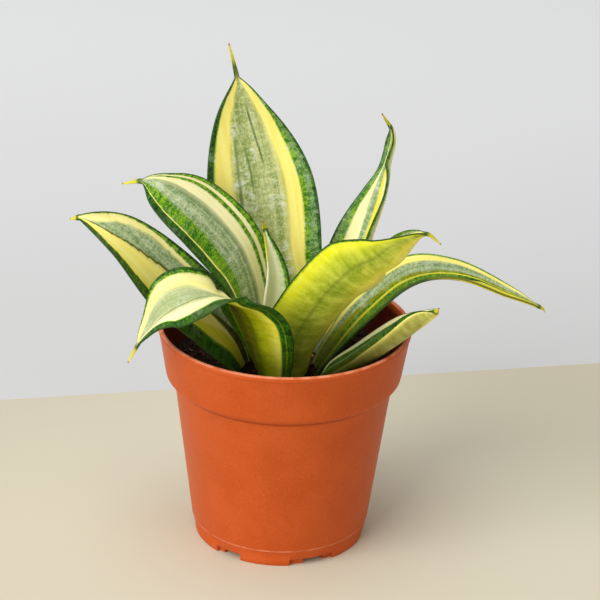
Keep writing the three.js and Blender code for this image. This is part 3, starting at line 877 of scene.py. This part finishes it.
def round_profile(profile, steps):
    """The profile spun into a closed body round Z."""
    bm = bmesh.new()
    verts = [bm.verts.new((r * MM, 0, z * MM)) for r, z in profile]
    edges = [bm.edges.new(pair) for pair in zip(verts, verts[1:])]
    bmesh.ops.spin(
        bm, geom=verts + edges, cent=(0, 0, 0), axis=UP, angle=2 * math.pi, steps=steps, use_merge=True,
    )
    bmesh.ops.remove_doubles(bm, verts=bm.verts, dist=0.02 * MM)
    bmesh.ops.recalc_face_normals(bm, faces=bm.faces)
    return bm


def in_notch(face):
    """Whether a face of the foot lies in one of the notches, which are of two kinds in turn."""
    centre = face.calc_center_median()
    step = 360 / NOTCHES
    turn = (math.degrees(math.atan2(centre.y, centre.x)) - FIRST_NOTCH + step / 2) % 360
    low, high = NOTCH_KINDS[int(turn // step) % 2][0 if centre.xy.length > FOOT_MIDDLE * MM else 1]
    return low < turn % step - step / 2 < high


def make_pot():
    """The moulded pot: spun, its foot drawn down between the notches, bevelled and drilled."""
    bm = round_profile(POT_PROFILE, POT_STEPS)
    roof = NOTCH_HEIGHT * MM
    foot = []
    for face in bm.faces:
        if all(abs(vert.co.z - roof) < 1e-6 for vert in face.verts) and not in_notch(face):
            foot.append(face)
    grown = bmesh.ops.extrude_face_region(bm, geom=foot)["geom"]
    for vert in grown:
        if isinstance(vert, bmesh.types.BMVert):
            vert.co.z = 0
            radius = vert.co.xy.length
            if radius > (FOOT_OUT + FOOT_SLOPE_AT_ROOF) / 2 * MM:
                vert.co.xy *= FOOT_OUT * MM / radius
    bmesh.ops.recalc_face_normals(bm, faces=bm.faces)
    sharp = [e for e in bm.edges if e.calc_face_angle(0) > SHARP_EDGE]
    bmesh.ops.bevel(
        bm, geom=sharp, offset=POT_BEVEL * MM, offset_type="OFFSET", segments=2, profile=0.5, affect="EDGES",
        material=-1, clamp_overlap=True,
    )
    bmesh.ops.translate(bm, verts=bm.verts, vec=POT_AXIS)
    drills = bmesh.new()
    for i in range(NOTCHES):
        turn = math.radians(FIRST_NOTCH + i * 360 / NOTCHES)
        spot = POT_AXIS + Vector((math.cos(turn), math.sin(turn), 0)) * DRAIN_CIRCLE * MM
        bmesh.ops.create_cone(
            drills, cap_ends=True, segments=32, radius1=DRAIN_RADIUS * MM, radius2=DRAIN_RADIUS * MM,
            depth=DRILL_LENGTH * MM, matrix=Matrix.Translation(spot),
        )
    for face in bm.faces:
        middle = face.calc_center_median()
        inside = face.normal.xy.dot(middle.xy - POT_AXIS.xy) < 0 and middle.z < LIP_INSIDE * MM
        face.material_index = 1 if inside and middle.z > FLOOR_TOP * MM else 0
    body = add_piece("pot_body", bm, [
        pot_plastic("terracotta_plastic", False), pot_plastic("inside_shaded_terracotta_plastic", True),
    ])
    drill = add_piece("drain_drill", drills, [])
    cut = body.modifiers.new("drain_holes", "BOOLEAN")
    cut.object = drill
    cut.operation = "DIFFERENCE"
    cut.solver = "EXACT"
    whole = bpy.data.meshes.new_from_object(body.evaluated_get(bpy.context.evaluated_depsgraph_get()))
    body.modifiers.clear()
    body.data = whole
    bpy.data.objects.remove(drill)
    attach(body, "root")
    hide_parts("pot")


make_pot()

# ---------- potting mix ----------
SOIL_TOP = 77.0
SOIL_MOUND = 1.5
SOIL_REACH = 48  # radius at which the mound ends
SOIL_SINK = 0.4
SOIL_RADIUS = 47.9
SOIL_RIM = 76.6
SOIL_PROFILE = [(0, 6.1), (34.7, 6.1), (43.8, 69.7), (47.5, 75.1), (SOIL_RADIUS, SOIL_RIM)]
SOIL_RINGS = 40
SOIL_STEPS = 160
SOIL_LUMPS = [(0.16, 3.0, 1.1), (0.45, 9.0, 0.7)]  # how close, which layer of the noise, how high
CHIPS_REACH = 45.5
CHIPS_TOP = 83


def mix_surface(name, dark, light):
    """Earthy matter in two tones, with pale specks."""
    material, tree = new_material(name)
    place = node(tree, "TexCoord").outputs["Object"]
    clumps = grain(tree, place, 260, 4, 0.65)
    grit = grain(tree, place, 1500, 3, 0.7)
    colour = mixed(tree, between(tree, clumps, 0.35, 0.7), dark, light)
    colour = mixed(tree, between(tree, grit, 0.58, 0.72, 0.0, 0.6), colour, linear(150, 112, 76))
    normal = bumped(tree, (clumps, 0.6, 1), (grit, 0.5, 0.3))
    finish_skin(tree, Base_Color=colour, Roughness=0.9, Specular_IOR_Level=0.15, Normal=normal)
    return material


def soil_height(x, y):
    """How high the lumpy bed is at a place from the pot's axis."""
    mound = SOIL_TOP + SOIL_MOUND * (1 - min(math.hypot(x, y) / SOIL_REACH, 1) ** 2)
    lumps = sum(
        noise.noise(Vector((x * close, y * close, layer))) * high for close, layer, high in SOIL_LUMPS
    )
    return mound + lumps - SOIL_SINK


def make_soil():
    """The bed of potting mix, one closed body with a lumpy top."""
    top = [(SOIL_RADIUS * (1 - i / SOIL_RINGS), SOIL_TOP) for i in range(1, SOIL_RINGS + 1)]
    bm = round_profile(SOIL_PROFILE + top, SOIL_STEPS)
    for vert in bm.verts:
        if vert.co.z > (SOIL_RIM - 0.3) * MM:
            vert.co.z = soil_height(vert.co.x / MM, vert.co.y / MM) * MM
    bmesh.ops.translate(bm, verts=bm.verts, vec=POT_AXIS)
    made = add_piece("soil_bed", bm, [mix_surface("potting_mix_bed", linear(15, 8, 5), linear(46, 27, 17))])
    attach(made, "root")
    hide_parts("soil")


def make_chips(name, count, size, flat, material, seed):
    """Loose bits of one kind that lie on the potting mix."""
    draw = random.Random(seed)
    bm = bmesh.new()
    for _ in range(count):
        radius = CHIPS_REACH * math.sqrt(draw.random())
        turn = draw.uniform(0, 2 * math.pi)
        x, y = radius * math.cos(turn), radius * math.sin(turn)
        long = draw.uniform(*size)
        turned = Matrix.Rotation(draw.uniform(0, 6.28), 4, "Z")
        turned = turned @ Matrix.Rotation(draw.uniform(-0.6, 0.6), 4, "X")
        turned = turned @ Matrix.Rotation(draw.uniform(-0.5, 0.5), 4, "Y")
        thick = long * flat
        shape = Matrix.Diagonal((long, long * draw.uniform(0.4, 0.8), thick * draw.uniform(0.6, 1.2), 1))
        spot = POT_AXIS + Vector((x, y, soil_height(x, y) + thick * draw.uniform(0.0, 0.5))) * MM
        made = bmesh.ops.create_icosphere(
            bm, subdivisions=1, radius=0.5 * MM, matrix=Matrix.Translation(spot) @ turned @ shape,
        )
        for vert in made["verts"]:
            vert.co += Vector([draw.uniform(-1, 1) for _ in range(3)]) * long * 0.07 * MM
            vert.co.z = min(vert.co.z, CHIPS_TOP * MM)
    made = add_piece(name, bm, [material], smooth=False)
    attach(made, "root")
    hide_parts("soil")


make_soil()
dark_bark = mix_surface("dark_bark", linear(26, 14, 8), linear(74, 46, 28))
fine_bark = mix_surface("fine_bark", linear(26, 14, 9), linear(76, 48, 30))
pale_fibre = mix_surface("pale_fibre", linear(110, 78, 50), linear(170, 128, 88))
make_chips("bark_chips", 260, (2.0, 5.0), 0.45, dark_bark, 11)
make_chips("fine_mix", 700, (0.9, 2.2), 0.7, fine_bark, 12)
make_chips("pale_chips", 60, (1.5, 3.5), 0.35, pale_fibre, 13)

# ---------- crown ----------
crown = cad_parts["crown"]
crown.data.materials.clear()
crown.data.materials.append(mix_surface("crown_skin", linear(150, 140, 84), linear(186, 176, 120)))

# ---------- floor and light ----------
FLOOR_SIZE = 8.0  # half a side
NEAR_LIGHTENING = (0.24, 0.05)  # distances from the origin where the painted light round the pot starts and is full
FAR_LIGHTENING = (0.1, 0.75)  # the same for the painted light far back, along Y


def floor_paint(name, colour, shade, far=None, near=None):
    """Matt paint with faint clouds; painted light lightens it far back and round the pot, towards the given
    colours.
    """
    material, tree = new_material(name)
    place = node(tree, "TexCoord").outputs["Object"]
    clouds = grain(tree, place, 3, 2, 0.5)
    colour = mixed(tree, between(tree, clouds, 0.3, 0.7), colour, shade)
    # Painted light: the far part grows lighter with distance.
    if far:
        depth = node(tree, "SeparateXYZ", {0: place}).outputs[1]
        colour = mixed(tree, between(tree, depth, *FAR_LIGHTENING), colour, far)
    if near:
        away = node(tree, "VectorMath", {0: place}, operation="LENGTH").outputs[1]
        colour = mixed(tree, between(tree, away, *NEAR_LIGHTENING), colour, near)
    finish_skin(tree, Base_Color=colour, Roughness=0.85, Specular_IOR_Level=0.2)
    return material


far_left, far_right = on_floor(0, FLOOR_END_LEFT), on_floor(PICTURE, FLOOR_END_RIGHT)
along_wall = (far_right - far_left).normalized()
past_wall = Vector((-along_wall.y, along_wall.x, 0))
floor_mesh = bmesh.new()
bmesh.ops.create_grid(floor_mesh, x_segments=12, y_segments=12, size=FLOOR_SIZE)
floor_parts = floor_mesh.verts[:] + floor_mesh.edges[:] + floor_mesh.faces[:]
bmesh.ops.bisect_plane(floor_mesh, geom=floor_parts, plane_co=far_left, plane_no=past_wall)
for floor_face in floor_mesh.faces:
    floor_face.material_index = int((floor_face.calc_center_median() - far_left).dot(past_wall) > 0)
# Painted light: the floor is painted lighter round the pot to lift its shadow, and the wall lighter far back.
floor = add_piece("floor", floor_mesh, [
    floor_paint("cream_floor", linear(202, 194, 171), linear(204, 196, 173), near=linear(217, 212, 190)),
    floor_paint("pale_wall", linear(207, 208, 208), linear(209, 210, 210), linear(229, 230, 231)),
])

LIT_POINT = Vector((0, 0, 90)) * MM


def soft_light(name, place, power, size, colour=(1, 1, 1)):
    """A square lamp turned towards the middle of the object."""
    data = bpy.data.lights.new(name, "AREA")
    data.energy = power
    data.size = size
    data.color = colour
    lamp = bpy.data.objects.new(name, data)
    lamp.location = place
    lamp.rotation_euler = (LIT_POINT - Vector(place)).to_track_quat("-Z", "Y").to_euler()
    bpy.context.scene.collection.objects.link(lamp)


soft_light("key_light", (-2.4, -2.3, 1.9), 146, 3.2, (1.0, 0.985, 0.96))
soft_light("fill_light", (2.0, -2.0, 1.1), 15, 2.4, (1.0, 0.93, 0.86))
soft_light("top_light", (-0.2, 0.0, 2.6), 34, 2.4)
world = bpy.data.worlds.new("studio")
world.use_nodes = True
world.node_tree.nodes["Background"].inputs[0].default_value = (0.98, 0.99, 1.0, 1)
world.node_tree.nodes["Background"].inputs[1].default_value = 0.27
bpy.context.scene.world = world
